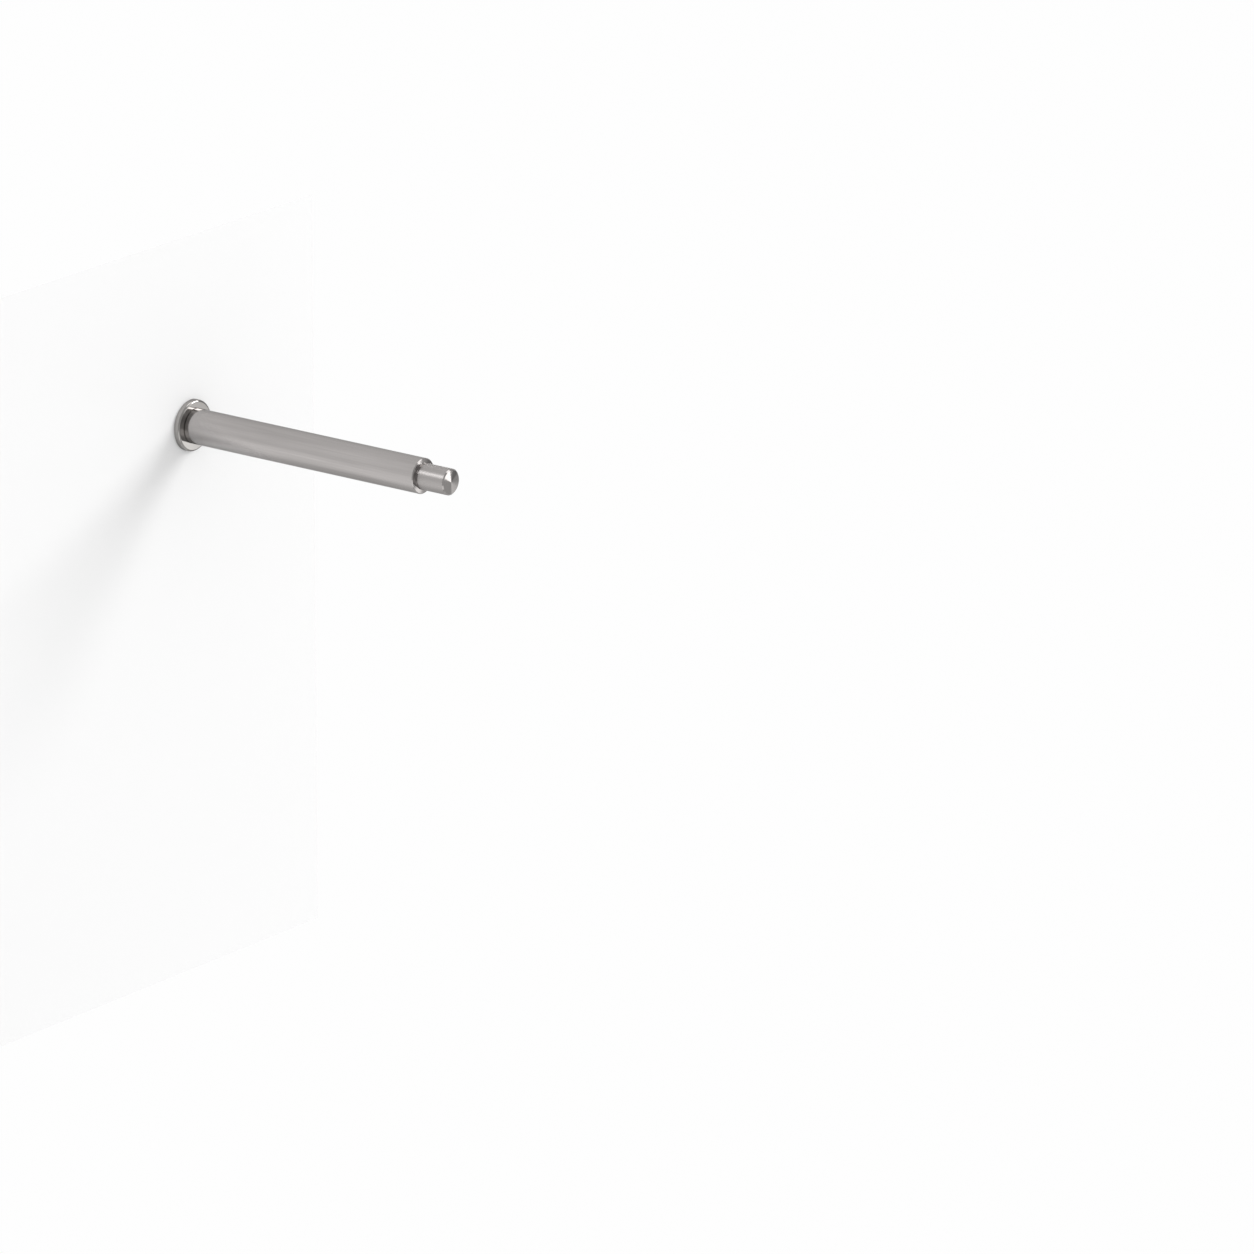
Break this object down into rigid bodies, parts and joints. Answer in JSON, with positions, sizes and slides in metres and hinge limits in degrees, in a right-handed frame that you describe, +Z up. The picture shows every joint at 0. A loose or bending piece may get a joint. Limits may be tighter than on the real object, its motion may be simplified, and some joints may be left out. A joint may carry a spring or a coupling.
{
  "type": "shelf support rod",
  "caption": "Round stainless rod with a stepped pin at its tip and a polished wall flange, screwed to a wall by a hidden hanger bolt to carry a floating shelf.",
  "frame": {"origin": "centre of the flange's back face, on the wall plane", "axes": "+Y into the wall along the rod's axis, +Z up, so the rod points along -Y into the room"},
  "size_m": [0.0175, 0.16, 0.0174],
  "materials": {
    "rod_steel": "stainless steel bar, satin with a fine grain along its length, pin and end faces turned bright",
    "flange_steel": "stainless steel disc, polished almost to a mirror, with a rounded front edge",
    "bolt_steel": "bright zinc plate on a rolled thread"
  },
  "bodies": {
    "root": {"support_rod": "rod_steel", "wall_flange": "flange_steel", "hanger_bolt": "bolt_steel"}
  },
  "joints": []
}
